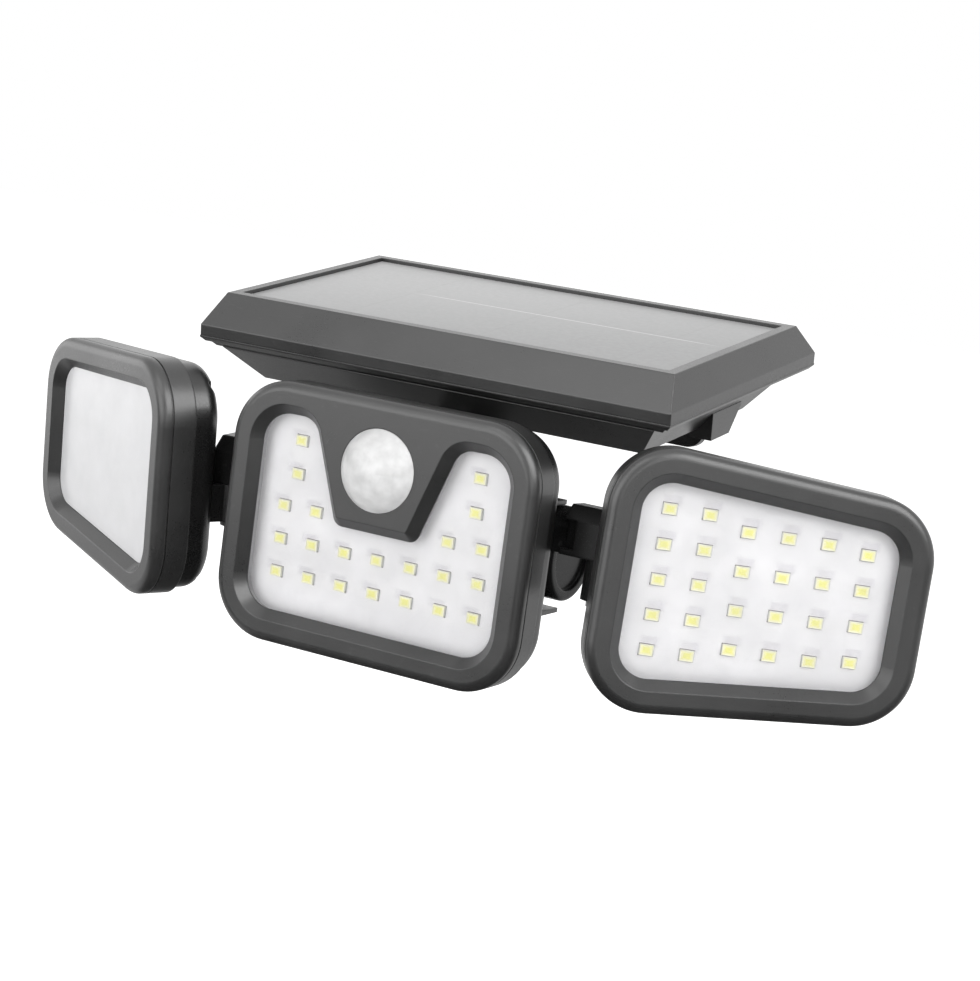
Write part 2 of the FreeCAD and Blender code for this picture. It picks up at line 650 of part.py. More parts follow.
def mode_button():
    up = V(0, 0, 1)
    cap = rod(BUTTON_RADIUS, V(SWITCH_X, SWITCH_Y, -BELLY_DROP - BUTTON_PROUD), up,
              BUTTON_PROUD + BELLY_WALL)
    flange = rod(BUTTON_RADIUS + BUTTON_FLANGE, V(SWITCH_X, SWITCH_Y, BELLY_FLOOR), up,
                 BUTTON_FLANGE)
    return join([cap, flange])


def mount_arm():
    pivot = panel_place.inverse().multVec(V(0, -PIVOT_OUT, PIVOT_UP))
    pad = box(-ARM_HALF, ARM_HALF, ARM_PAD_FRONT, ARM_PAD_FRONT + ARM_PAD_LENGTH,
              -BELLY_DROP - ARM_PAD, -BELLY_DROP)
    web = side_face_prism([(ARM_PAD_FRONT + ARM_PAD_LENGTH, -BELLY_DROP),
                           (ARM_PAD_FRONT + ARM_WEB_START, -BELLY_DROP - ARM_PAD),
                           (pivot.y, pivot.z - ARM_WEB_DROP), (pivot.y, -BELLY_DROP)],
                          -ARM_WEB_HALF, ARM_WEB_HALF)
    knuckle = rod(PIVOT_BOSS, V(-KNUCKLE_HALF, pivot.y, pivot.z), mirror_x, 2 * KNUCKLE_HALF)
    bore = rod(BOLT_RADIUS + FIT, V(-KNUCKLE_HALF, pivot.y, pivot.z), mirror_x, 2 * KNUCKLE_HALF)
    tools = [bore]
    for x, y in arm_screw_spots():
        tools.append(rod(SCREW_SHANK, V(x, y, -BELLY_DROP - ARM_PAD), V(0, 0, 1), ARM_PAD))
        tools.append(rod(SCREW_HEAD, V(x, y, -BELLY_DROP - ARM_PAD), V(0, 0, 1),
                         SCREW_HEAD_THICK))
    return cut(join([pad, web, knuckle]), tools)


# ---------------------------------------------------------------- hinge bar
BAR_FRONT = TILT_OUT - CENTRE_HEAD_OUT + SHELL_BACK      # from the tilt axis
TOP_SHELF = DISC_RADIUS + TOP_SHELF_GAP
FOOT_SHELF = -DISC_RADIUS - FOOT_SHELF_GAP - SHELF_THICK


def hinge_bar():
    """Cross bar, end sockets and neck, laid out about the tilt axis."""
    plate = box(-BAR_HALF, BAR_HALF, BAR_FRONT, BAR_FRONT + BAR_WALL,
                FOOT_SHELF, TOP_SHELF + SHELF_THICK)
    body = box(-BAR_HALF, BAR_HALF, BAR_FRONT, BAR_BACK, -BAR_TALL, BAR_TALL)
    trough = box(BAR_END_WALL - BAR_HALF, BAR_HALF - BAR_END_WALL, BAR_FRONT,
                 BAR_BACK - BAR_WALL, BAR_WALL - BAR_TALL, BAR_TALL - BAR_WALL)
    top_end = BAR_HALF + TOP_SHELF_REACH
    foot_end = BAR_HALF + FOOT_SHELF_REACH
    pieces = [plate, body,
              box(-top_end, top_end, BAR_FRONT, 0, TOP_SHELF, TOP_SHELF + SHELF_THICK),
              box(-foot_end, foot_end, BAR_FRONT, -FOOT_SHELF_BACK, FOOT_SHELF,
                  FOOT_SHELF + SHELF_THICK)]
    for x0 in (BAR_HALF - BAR_FLANGE, -BAR_HALF):
        pieces.append(rod(DISC_RADIUS, V(x0, 0, 0), mirror_x, BAR_FLANGE))
    bosses = [rod(SCREW_HEAD, V(x, BAR_FRONT, 0), V(0, 1, 0), BAR_BACK - BAR_FRONT)
              for x in BAR_BOSS_SPOTS]
    bar = placed(join([cut(join(pieces), [trough])] + bosses), knuckle_place(0))
    pad = placed(box(-NECK_HALF, NECK_HALF, NECK_PAD_FRONT, NECK_PAD_FRONT + NECK_PAD_LENGTH,
                     -BELLY_DROP - ARM_PAD, -BELLY_DROP), panel_place)
    foot_up = TILT_UP + BAR_TALL - BAR_WALL / 2
    foot = [V(0, BAR_FRONT - TILT_OUT, foot_up), V(0, BAR_BACK - TILT_OUT, foot_up)]
    head = [panel_place.multVec(V(0, NECK_PAD_FRONT + NECK_PAD_LENGTH, -BELLY_DROP - ARM_PAD / 2)),
            panel_place.multVec(V(0, NECK_PAD_FRONT, -BELLY_DROP - ARM_PAD / 2))]
    column = side_face_prism([(p.y, p.z) for p in foot + head], -NECK_RIB, NECK_RIB)
    whole = join([bar, pad, column])
    tools = []
    for x in (-1, 1):
        tools.append(placed(rod(STUB_RADIUS + FIT, V(x * BAR_HALF, 0, 0), V(-x, 0, 0),
                                BAR_END_WALL), knuckle_place(0)))
    for x in BAR_BOSS_SPOTS:
        tools.append(placed(rod(SCREW_SHANK, V(x, BAR_FRONT, 0), V(0, 1, 0), BAR_SCREW_REACH),
                            knuckle_place(0)))
    for x, y in neck_screw_spots():
        tools.append(placed(rod(SCREW_SHANK, V(x, y, -BELLY_DROP - ARM_PAD), V(0, 0, 1), ARM_PAD),
                            panel_place))
    return cut(whole, tools)


def bar_screws():
    screws = []
    wall_inner = BAR_FRONT - SHELL_WALL
    for x in BAR_BOSS_SPOTS:
        head = rod(SCREW_HEAD, V(x, wall_inner, 0), V(0, -1, 0), SCREW_HEAD_THICK)
        shank = rod(SCREW_SHANK, V(x, wall_inner, 0), V(0, 1, 0), SHELL_WALL + BAR_SCREW_REACH)
        screws.append(join([head, shank]))
    return Part.makeCompound(screws)


# ---------------------------------------------------------------- side hinges, right-hand one
def tilt_knuckle():
    """Round tilt disc with its stub and the upper half of the swing hinge, about the tilt axis."""
    inner = BAR_HALF + GAP
    outer = inner + DISC_THICK
    disc = rod(DISC_RADIUS, V(inner, 0, 0), mirror_x, DISC_THICK)
    rim = [edge for edge in disc.Edges if abs(edge.BoundBox.XMin - outer) < LEVEL]
    disc = disc.makeFillet(DISC_ROUND, rim)
    dish = rod(DISC_DISH_RADIUS, V(outer - DISC_DISH, 0, 0), mirror_x, DISC_DISH)
    stub_in = BAR_HALF - BAR_END_WALL
    stub = rod(STUB_RADIUS, V(stub_in, 0, 0), mirror_x, inner - stub_in)
    front = -PIN_FORWARD - BARREL_RADIUS
    back = BARREL_RADIUS - PIN_FORWARD
    top = PIN_RISE + BARREL_TOP
    end = PIN_OUT + BARREL_RADIUS
    block = side_face_prism([(front, PIN_RISE), (back, PIN_RISE), (back, top),
                             (front + BLOCK_CHAMFER, top), (front, top - BLOCK_CHAMFER)],
                            CENTRE_WIDTH / 2 + GAP, end)
    end_edges = [edge for edge in block.Edges if edge.BoundBox.XMin > end - LEVEL
                 and edge.BoundBox.ZMax > PIN_RISE + LEVEL]
    block = block.makeFillet(BLOCK_ROUND, end_edges)
    root = rod(DISC_RADIUS, V(outer - DISC_ROUND - DISC_DISH, 0, 0), mirror_x,
               CENTRE_WIDTH / 2 + GAP - outer + DISC_ROUND + DISC_DISH)
    root = root.common(box(inner, end, -DISC_RADIUS, back, PIN_RISE, top))
    knuckle = join([cut(disc, [dish]), stub, block, root])
    pocket = box(outer + POCKET_IN, outer + POCKET_OUT, front, front + POCKET_DEPTH,
                 PIN_RISE + POCKET_WALL, top - BLOCK_CHAMFER)
    pin_bore = rod(PIN_RADIUS, V(PIN_OUT, -PIN_FORWARD, PIN_RISE), V(0, 0, 1),
                   BARREL_TOP - BARREL_CAP)
    screw_bore = rod(SCREW_SHANK, V(stub_in, 0, 0), mirror_x, TILT_SCREW_REACH)
    return cut(knuckle, [pocket, pin_bore, screw_bore])


def tilt_screw():
    stub_in = BAR_HALF - BAR_END_WALL
    washer = rod(TILT_WASHER_RADIUS, V(stub_in, 0, 0), V(-1, 0, 0), WASHER_THICK)
    head = rod(SCREW_HEAD, V(stub_in - WASHER_THICK, 0, 0), V(-1, 0, 0), SCREW_HEAD_THICK)
    shank = rod(SCREW_SHANK, V(stub_in - WASHER_THICK, 0, 0), mirror_x,
                WASHER_THICK + TILT_SCREW_REACH)
    return join([washer, head, shank])


def swing_pin():
    foot = PIN_RISE - BARREL_BOTTOM
    pin = rod(PIN_RADIUS, V(PIN_OUT, -PIN_FORWARD, foot), V(0, 0, 1),
              BARREL_TOP - BARREL_CAP + BARREL_BOTTOM)
    head = rod(PIN_HEAD_RADIUS, V(PIN_OUT, -PIN_FORWARD, foot), V(0, 0, -1), PIN_HEAD)
    half = SLOT_WIDTH / 2
    slot = box(PIN_OUT - PIN_HEAD_RADIUS + SLOT_DEPTH, PIN_OUT + PIN_HEAD_RADIUS - SLOT_DEPTH,
               -PIN_FORWARD - half, half - PIN_FORWARD, foot - PIN_HEAD,
               foot - PIN_HEAD + SLOT_DEPTH)
    return cut(join([pin, head]), [slot])


# ---------------------------------------------------------------- heads
def side_form():
    """Right-hand outline: taller on the inner side, which is at negative X."""
    half = SIDE_WIDTH / 2
    lean = half * math.tan(math.radians(SIDE_SLOPE))
    inner = SIDE_HEIGHT / 2 + lean
    outer = SIDE_HEIGHT / 2 - lean
    return ([(-half, -inner), (half, -outer), (half, outer), (-half, inner)], [HEAD_CORNER] * 4)


def centre_form():
    half = CENTRE_WIDTH / 2
    corners = [(-half, CENTRE_BOTTOM), (half, CENTRE_BOTTOM), (half, CENTRE_TOP),
               (-half, CENTRE_TOP)]
    return (corners, [HEAD_CORNER] * 4)


def side_window():
    corners, radii = side_form()
    return (shifted_corners(corners, WINDOW_SET), [radius - WINDOW_SET for radius in radii])


def centre_window():
    half = CENTRE_WIDTH / 2 - WINDOW_SET
    foot = CENTRE_BOTTOM + WINDOW_SET
    bib_top = BIB_HALF + BIB_LEAN * (WINDOW_TOP - BIB_FOOT)
    corners = [(-half, foot), (half, foot), (half, WINDOW_TOP), (bib_top, WINDOW_TOP),
               (BIB_HALF, BIB_FOOT), (-BIB_HALF, BIB_FOOT), (-bib_top, WINDOW_TOP),
               (-half, WINDOW_TOP)]
    radii = [LOBE_OUTER, LOBE_OUTER, LOBE_OUTER, LOBE_INNER, BIB_CORNER, BIB_CORNER,
             LOBE_INNER, LOBE_OUTER]
    return (corners, radii)


def case_screw_spots(form):
    """Screw places on the lines from the corners' arc centres outwards."""
    corners, radii = form
    centres = shifted_corners(corners, radii[0])
    spots = []
    for (cx, cz), (kx, kz) in zip(corners, centres):
        length = math.hypot(cx - kx, cz - kz)
        spots.append((kx + (cx - kx) / length * BOSS_REACH, kz + (cz - kz) / length * BOSS_REACH))
    return spots


def bezel(form, window):
    body = slab(form, 0, -BEZEL_FRONT, BEZEL_BACK)
    body = body.makeFillet(BEZEL_ROUND, edges_at_y(body, -BEZEL_FRONT))
    ring_back = RING_THICK - BEZEL_FRONT
    hollow = slab(form, BEZEL_WALL, ring_back, BEZEL_BACK)
    opening = taper(window, -BEVEL_RUN, -BEZEL_FRONT, 0, ring_back)
    groove_front = GROOVE_BACK - BEZEL_FRONT
    groove = cut(slab(form, -GROOVE_DEEP, groove_front, groove_front + GROOVE_WIDE),
                 [slab(form, GROOVE_DEEP, groove_front, groove_front + GROOVE_WIDE)])
    shell = cut(body, [hollow, opening, groove])
    bosses = [rod(BOSS_RADIUS, V(x, ring_back, z), V(0, 1, 0), BEZEL_BACK - ring_back)
              for x, z in case_screw_spots(form)]
    pilots = [rod(SCREW_SHANK, V(x, ring_back + BOSS_CAP, z), V(0, 1, 0), BEZEL_BACK - ring_back)
              for x, z in case_screw_spots(form)]
    return cut(join([shell] + bosses), pilots)


def lens(form):
    """Flat cover whose rim stands on the lamp board; form is its window."""
    front = RING_THICK - BEZEL_FRONT
    plate = slab(form, -LENS_MARGIN, front, front + LENS_THICK)
    rim = cut(slab(form, -LENS_MARGIN, front + LENS_THICK, 0),
              [slab(form, LENS_RIM - LENS_MARGIN, front + LENS_THICK, 0)])
    return join([plate, rim])


def gasket(form):
    return cut(slab(form, SHELL_SET - GAP, BEZEL_BACK, BEZEL_BACK + SEAM),
               [slab(form, BEZEL_WALL + GAP, BEZEL_BACK, BEZEL_BACK + SEAM)])


def lamp_board(form):
    return slab(form, WINDOW_SET - LENS_MARGIN, 0, BOARD_THICK)


def rear_shell(form):
    front = BEZEL_BACK + SEAM
    body = slab(form, SHELL_SET, front, SHELL_BACK)
    outer = body.makeFillet(SHELL_ROUND, edges_at_y(body, SHELL_BACK))
    floor = SHELL_BACK - SHELL_WALL
    body = cut(outer, [slab(form, SHELL_SET + SHELL_WALL, front, floor)])
    spigot_in = BEZEL_WALL + GAP
    spigot = cut(slab(form, spigot_in, front - SHELL_SPIGOT, front),
                 [slab(form, spigot_in + SHELL_SPIGOT_WALL, front - SHELL_SPIGOT, front)])
    spots = case_screw_spots(form)
    spigot = cut(spigot, [rod(BOSS_RADIUS + GAP, V(x, front - SHELL_SPIGOT, z), V(0, 1, 0),
                              SHELL_SPIGOT) for x, z in spots])
    sleeves = [rod(SLEEVE_RADIUS, V(x, front, z), V(0, 1, 0), floor - front).common(outer)
               for x, z in spots]
    pillars = [rod(PILLAR_RADIUS, V(x, BOARD_THICK, z), V(0, 1, 0), floor - BOARD_THICK)
               for x in (-PILLAR_X, PILLAR_X) for z in (-PILLAR_Z, PILLAR_Z)]
    shanks = [rod(SCREW_SHANK, V(x, front, z), V(0, 1, 0), SHELL_BACK - front) for x, z in spots]
    heads = [rod(CASE_SCREW_HEAD, V(x, SHELL_BACK - CASE_SCREW_SINK, z), V(0, 1, 0),
                 CASE_SCREW_SINK) for x, z in spots]
    return cut(join([body, spigot] + sleeves + pillars), shanks + heads)


def side_shell():
    """Right-hand rear shell with the lower swing barrel."""
    shell = rear_shell(side_form())
    foot = V(-HEAD_BESIDE_PIN, HEAD_BEFORE_PIN, -BARREL_BOTTOM)
    barrel = rod(BARREL_RADIUS, foot, V(0, 0, 1), BARREL_BOTTOM)
    web = box(-HEAD_BESIDE_PIN - LUG_WEB, -HEAD_BESIDE_PIN + BARREL_RADIUS,
              SHELL_BACK - SHELL_WALL, HEAD_BEFORE_PIN, -BARREL_BOTTOM, 0)
    bore = rod(PIN_RADIUS + FIT, foot, V(0, 0, 1), BARREL_BOTTOM)
    return cut(join([shell, barrel, web]), [bore])


def centre_shell():
    shell = rear_shell(centre_form())
    up = CENTRE_HEAD_UP - TILT_UP
    holes = [rod(SCREW_SHANK, V(x, SHELL_BACK - SHELL_WALL, -up), V(0, 1, 0), SHELL_WALL)
             for x in BAR_BOSS_SPOTS]
    return cut(shell, holes)


def centre_bezel():
    ring = bezel(centre_form(), centre_window())
    hole = rod(PIR_RADIUS + FIT, V(0, -BEZEL_FRONT, PIR_UP), V(0, 1, 0), RING_THICK)
    return cut(ring, [hole])


def case_screws(form):
    screws = []
    sunk = SHELL_BACK - CASE_SCREW_SINK
    for x, z in case_screw_spots(form):
        head = rod(CASE_SCREW_HEAD, V(x, sunk, z), V(0, 1, 0), CASE_SCREW_HEAD_THICK)
        shank = rod(SCREW_SHANK, V(x, sunk, z), V(0, -1, 0),
                    sunk + BEZEL_FRONT - RING_THICK - BOSS_CAP)
        screws.append(join([head, shank]))
    return Part.makeCompound(screws)


def led(x, z):
    return box(x - LED_WIDTH / 2, x + LED_WIDTH / 2, -LED_THICK, 0,
               z - LED_HEIGHT / 2, z + LED_HEIGHT / 2)


def centre_leds():
    """Rows counted down from the row beside the sensor bib's foot."""
    lamps = []
    for row, columns in ((0, (-3, -2, 2, 3)), (1, range(-3, 4)), (2, range(-3, 4))):
        for column in columns:
            lamps.append(led(column * CENTRE_PITCH, -row * CENTRE_ROW_PITCH))
    for row in (1, 2):
        for side in (-1, 1):
            lamps.append(led(side * CENTRE_TOP_ROWS_X, row * CENTRE_ROW_PITCH))
    return Part.makeCompound(lamps)


def side_leds():
    lamps = []
    for column in range(SIDE_COLUMNS):
        x = (column - (SIDE_COLUMNS - 1) / 2) * SIDE_PITCH
        rows = 4
        pitch = SIDE_FOUR_ROW_PITCH
        if column < SIDE_TALL_COLUMNS:
            rows = 5
            pitch = SIDE_FIVE_ROW_PITCH
        if column == SIDE_COLUMNS - 1:
            pitch = SIDE_LAST_ROW_PITCH
        for row in range(rows):
            lamps.append(led(x, (row - (rows - 1) / 2) * pitch))
    return Part.makeCompound(lamps)


def pir_dome():
    """Sensor lens: a shallow dome, its skirt and the flange behind the bezel's ring."""
    flange_front = RING_THICK - BEZEL_FRONT
    base = V(0, -BEZEL_FRONT, PIR_UP)
    back = V(0, 1, 0)
    ball = (PIR_RADIUS ** 2 + PIR_RISE ** 2) / (2 * PIR_RISE)
    middle = V(0, ball - BEZEL_FRONT - PIR_RISE, PIR_UP)
    ahead = box(-ball, ball, -BEZEL_FRONT - PIR_RISE, -BEZEL_FRONT, PIR_UP - ball, PIR_UP + ball)
    cap = Part.makeSphere(ball, middle).common(ahead)
    skirt = rod(PIR_RADIUS, base, back, BEZEL_FRONT + flange_front + PIR_FLANGE_THICK)
    flange = rod(PIR_RADIUS + PIR_FLANGE, V(0, flange_front, PIR_UP), back, PIR_FLANGE_THICK)
    inner_cap = Part.makeSphere(ball - PIR_WALL, middle)
    bore = rod(PIR_RADIUS - PIR_WALL, base, back, BEZEL_FRONT)
    return cut(join([cap, skirt, flange]), [inner_cap.common(ahead), bore])


def pir_spacer():
    front = RING_THICK - BEZEL_FRONT + PIR_FLANGE_THICK
    ring = rod(PIR_RADIUS + PIR_FLANGE, V(0, front, PIR_UP), V(0, 1, 0), -front)
    return cut(ring, [rod(PIR_RADIUS - PIR_WALL, V(0, front, PIR_UP), V(0, 1, 0), -front)])


def pir_sensor():
    return rod(PIR_CAN_RADIUS, V(0, 0, PIR_UP), V(0, -1, 0), PIR_CAN_TALL)


# ---------------------------------------------------------------- the whole lamp
def side_pieces(side, name, tilt, swing):
    """One side head and its hinge; both are drawn right-handed and mirrored for the left."""
    at_hinge = knuckle_place(tilt)
    at_head = head_place(side, tilt, swing)
    form = side_form()
    drawn = {
        "tilt_knuckle": (tilt_knuckle(), at_hinge),
        "tilt_screw": (tilt_screw(), at_hinge),
        "swing_pin": (swing_pin(), at_hinge),
        "bezel": (bezel(form, side_window()), at_head),
        "lens": (lens(side_window()), at_head),
        "gasket": (gasket(form), at_head),
        "board": (lamp_board(form), at_head),
        "leds": (side_leds(), at_head),
        "shell": (side_shell(), at_head),
        "case_screws": (case_screws(form), at_head),
    }
    pieces = {}
    for part_name, (shape, place) in drawn.items():
        if side < 0:
            shape = shape.mirror(V(0, 0, 0), mirror_x)
        pieces[name + "_" + part_name] = placed(shape, place)
    return pieces


def build():
    nodes = {
        "wall_bracket": wall_bracket(),
        "bracket_bolt": bracket_bolt(),
        "bracket_nut": bracket_nut(),
        "bracket_washers": bracket_washers(),
        "hinge_bar": hinge_bar(),
        "bar_screws": placed(bar_screws(), knuckle_place(0)),
    }
    for maker in (panel_frame, solar_panel, panel_tray, battery_cover, battery_cover_screws,
                  tray_screws, neck_screws, mount_arm, mount_arm_screws, battery_cell,
                  battery_holder, charge_board, switch_body, mode_button):
        nodes[maker.__name__] = placed(maker(), panel_place)
    form = centre_form()
    centre = {
        "centre_bezel": centre_bezel(),
        "centre_lens": lens(centre_window()),
        "centre_gasket": gasket(form),
        "centre_board": lamp_board(form),
        "centre_leds": centre_leds(),
        "centre_shell": centre_shell(),
        "centre_case_screws": case_screws(form),
        "pir_dome": pir_dome(),
        "pir_spacer": pir_spacer(),
        "pir_sensor": pir_sensor(),
    }
    for name, shape in centre.items():
        nodes[name] = placed(shape, centre_place)
    nodes.update(side_pieces(1, "right", RIGHT_TILT, RIGHT_SWING))
    nodes.update(side_pieces(-1, "left", LEFT_TILT, LEFT_SWING))
    return nodes


os.makedirs("parts", exist_ok=True)
for node, solid in build().items():
    solid.exportStep("parts/" + node + ".step")
    print(node, len(solid.Solids), round(solid.Volume), solid.isValid())
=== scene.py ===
import math

import bmesh
import bpy
from mathutils import Matrix, Vector


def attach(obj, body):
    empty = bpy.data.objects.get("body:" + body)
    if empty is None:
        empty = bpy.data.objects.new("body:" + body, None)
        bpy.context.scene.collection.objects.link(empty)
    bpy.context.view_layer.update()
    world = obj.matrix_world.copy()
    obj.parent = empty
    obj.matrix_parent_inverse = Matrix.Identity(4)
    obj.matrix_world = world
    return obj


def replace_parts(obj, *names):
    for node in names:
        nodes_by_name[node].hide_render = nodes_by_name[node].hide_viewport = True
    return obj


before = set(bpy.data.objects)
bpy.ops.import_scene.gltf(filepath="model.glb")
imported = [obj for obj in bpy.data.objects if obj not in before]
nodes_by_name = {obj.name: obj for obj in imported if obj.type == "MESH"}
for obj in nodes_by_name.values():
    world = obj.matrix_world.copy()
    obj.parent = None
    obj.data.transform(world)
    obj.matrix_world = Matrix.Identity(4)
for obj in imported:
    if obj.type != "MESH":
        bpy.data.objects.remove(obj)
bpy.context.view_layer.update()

scene = bpy.context.scene
scene.view_settings.view_transform = "Standard"

MM = 0.001

# ---------------------------------------------------------------- sizes of the lamp, in mm
PANEL_PITCH = math.radians(8.5)
PANEL_FRONT_OUT = 104.0
CENTRE_HEAD = Vector((0, -115.3, -34.4))
TILT_AXIS = Vector((0, -90.2, -35.35))
PIN_OUT = 56.9
PIN_FORWARD = 9.4
PIN_RISE = 1.55
HEAD_BESIDE_PIN = 35.7
HEAD_BEFORE_PIN = 19.7
HEAD_ANGLES = {"right": (3.1, 33.0), "left": (-4.3, 29.0)}   # tilt and swing, in degrees

LED_WIDTH = 3.5
LED_HEIGHT = 2.8
LED_THICK = 0.8
CENTRE_PITCH = 10.0
CENTRE_ROW_PITCH = 8.86
CENTRE_TOP_ROWS_X = 26.9
SIDE_PITCH = 10.1
# lamps in each column and their pitch, from the hinge outwards
SIDE_ROWS = ((5, 8.8), (5, 8.8), (4, 9.8), (4, 9.8), (4, 9.8), (4, 9.0))

LED_DRAFT = 0.08             # taken off the width and height of a package's front
LED_LIP = 0.20               # reflector wall round the phosphor
LED_WELL = 0.12              # depth of the well that holds the phosphor
WELL_TAPER = 2.6             # lip widths taken off the width and height of the well's floor
TERMINAL_REACH = 0.22
TERMINAL_THICK = 0.15
TERMINAL_HEIGHT = 2.3
TERMINAL_SLOPE = 0.02
OUTLINE = 0.16               # dark ring round a package: solder, and painted shadow in the gap beside it
OUTLINE_THICK = 0.05
OUTLINE_SLOPE = 0.03

# painted reflection: a faint ghost of each LED on the board, shifted per head the way the view shifts
# it
GHOST_WIDTH = 5.8
GHOST_HEIGHT = 3.2
GHOST_BACK = 0.01              # in front of the board's face
GHOST_FRONT = 0.04
GHOST_SLOPE = 0.02
GHOST_ASIDE = {"centre": -1.1, "right": 0.5, "left": -1.0}
GHOST_UP = {"centre": 1.6, "right": 2.3, "left": 1.6}

DOME_UP = 15.0
DOME_RADIUS = 10.8
DOME_RISE = 6.5
DOME_FRONT = -6.0            # foot of the cap, which is the bezel ring's face
DOME_FLANGE_FRONT = -3.0
DOME_FLANGE_BACK = -1.8
DOME_FLANGE_RADIUS = 12.2
DOME_WALL = 1.0
DOME_ROWS = 40
DOME_COLUMNS = 120
DOME_INNER_STEP = 4          # the inner face has one row for this many outer ones

FACET_RINGS = ((1, 0.0), (6, 0.42), (11, 0.80))      # how many, and how far out of the rim's angle
FACET_BULGE = 0.30
FACET_REACH = 0.3            # half a facet, as a share of the rim's angle
FACET_FADE = 12              # how fast the facets flatten towards the rim

STRIP_AT = 47.5              # bright strip, from the panel's front edge
STRIP_HALF = 0.14
STRIP_BLUR = 0.2
STRIP_MIDDLE = 14.0          # to the right of the panel's middle
STRIP_REACH = 36.0
STRIP_FADE = 14.0
CUT_START = 33.2             # the cells' cuts, to the left of the panel's middle
CUT_PITCH = 40.5
CUT_HALF = 0.15
CUT_BLUR = 0.25

CORNERS = ((-1, -1), (1, -1), (1, 1), (-1, 1))
SIGN = {"right": 1, "left": -1}

# ---------------------------------------------------------------- camera
CAMERA_AT = Vector((0.31231, -0.64999, 0.07193))
CAMERA_AZIMUTH = math.radians(27.853)
CAMERA_ELEVATION = math.radians(8.563)
CAMERA_ROLL = math.radians(7.723)
CAMERA_LENS = 89.57          # mm
CAMERA_SENSOR = 36.0         # mm
CAMERA_CLIP = (0.01, 20.0)   # m


def add_camera():
    ahead = Vector((-math.sin(CAMERA_AZIMUTH) * math.cos(CAMERA_ELEVATION),
                    math.cos(CAMERA_AZIMUTH) * math.cos(CAMERA_ELEVATION),
                    -math.sin(CAMERA_ELEVATION)))
    level_right = ahead.cross(Vector((0, 0, 1))).normalized()
    level_up = level_right.cross(ahead)
    right = level_right * math.cos(CAMERA_ROLL) + level_up * math.sin(CAMERA_ROLL)
    up = level_up * math.cos(CAMERA_ROLL) - level_right * math.sin(CAMERA_ROLL)
    data = bpy.data.cameras.new("camera")
    data.lens = CAMERA_LENS
    data.sensor_width = CAMERA_SENSOR
    data.clip_start, data.clip_end = CAMERA_CLIP
    camera = bpy.data.objects.new("camera", data)
    turn = Matrix((right, up, -ahead)).transposed().to_4x4()
    camera.matrix_world = Matrix.Translation(CAMERA_AT) @ turn
    scene.collection.objects.link(camera)
    scene.camera = camera


# ---------------------------------------------------------------- materials
class Shader:
    """A material under construction, with short calls for the nodes it uses."""

    def __init__(self, name, colour, roughness):
        self.material = bpy.data.materials.new(name)
        self.material.use_nodes = True
        self.tree = self.material.node_tree
        self.principled = self.tree.nodes["Principled BSDF"]
        self.normal = None
        self.set("Base Color", (*colour, 1))
        self.set("Roughness", roughness)
        self.coordinates = self.add("ShaderNodeTexCoord")
        self.places = self.coordinates.outputs["Object"]

    def add(self, kind, **values):
        node = self.tree.nodes.new(kind)
        for key, value in values.items():
            setattr(node, key, value)
        return node

    def set(self, socket, value):
        self.principled.inputs[socket].default_value = value

    def link(self, output, socket):
        self.tree.links.new(output, self.principled.inputs[socket])

    def wire(self, value, node, socket):
        """Feeds a node's socket from another node's output or from a constant."""
        if hasattr(value, "is_output"):
            self.tree.links.new(value, node.inputs[socket])
        else:
            node.inputs[socket].default_value = value

    def compute(self, operation, first, second):
        node = self.add("ShaderNodeMath", operation=operation)
        self.wire(first, node, 0)
        self.wire(second, node, 1)
        return node.outputs[0]

    def stretched(self, scale):
        mapping = self.add("ShaderNodeMapping")
        self.wire(self.places, mapping, "Vector")
        mapping.inputs["Scale"].default_value = scale
        return mapping.outputs["Vector"]

    def noise(self, scale, detail=2.0, stretch=None):
        node = self.add("ShaderNodeTexNoise")
        self.wire(self.stretched(stretch) if stretch else self.places, node, "Vector")
        node.inputs["Scale"].default_value = scale
        node.inputs["Detail"].default_value = detail
        return node.outputs["Fac"]

    def spread(self, value, low, high, out_low, out_high, curve="LINEAR"):
        node = self.add("ShaderNodeMapRange", interpolation_type=curve)
        self.wire(value, node, "Value")
        for socket, number in zip(("From Min", "From Max", "To Min", "To Max"),
                                  (low, high, out_low, out_high)):
            node.inputs[socket].default_value = number
        return node.outputs["Result"]

    def clouds(self, scale, detail, low=0, high=1):
        """Soft noise that runs from low to high."""
        return self.spread(self.noise(scale, detail), 0.3, 0.7, low, high)

    def mix(self, share, colour_a, colour_b):
        node = self.add("ShaderNodeMix", data_type="RGBA")
        self.wire(share, node, 0)
        for socket, colour in ((6, colour_a), (7, colour_b)):
            self.wire(colour if hasattr(colour, "is_output") else (*colour, 1), node, socket)
        return node.outputs[2]

    def soften_edges(self, radius):
        """Shades sharp edges as if they were slightly rounded."""
        node = self.add("ShaderNodeBevel", samples=4)
        node.inputs["Radius"].default_value = radius
        self.normal = node.outputs["Normal"]
        self.link(self.normal, "Normal")

    def bump(self, height, depth, strength=1.0):
        node = self.add("ShaderNodeBump")
        node.inputs["Strength"].default_value = strength
        node.inputs["Distance"].default_value = depth
        self.wire(height, node, "Height")
        if self.normal:
            self.wire(self.normal, node, "Normal")
        self.normal = node.outputs["Normal"]
        self.link(self.normal, "Normal")

    def band(self, value, middle, half_width, blur):
        """1 where value lies within half_width of middle, falling to 0 over blur."""
        away = self.compute("ABSOLUTE", self.compute("SUBTRACT", value, middle), 0.0)
        return self.spread(away, half_width, half_width + blur, 1.0, 0.0, "SMOOTHSTEP")


def shades(colour, swing):
    return ([channel * (1 - swing) for channel in colour],
            [channel * (1 + swing) for channel in colour])


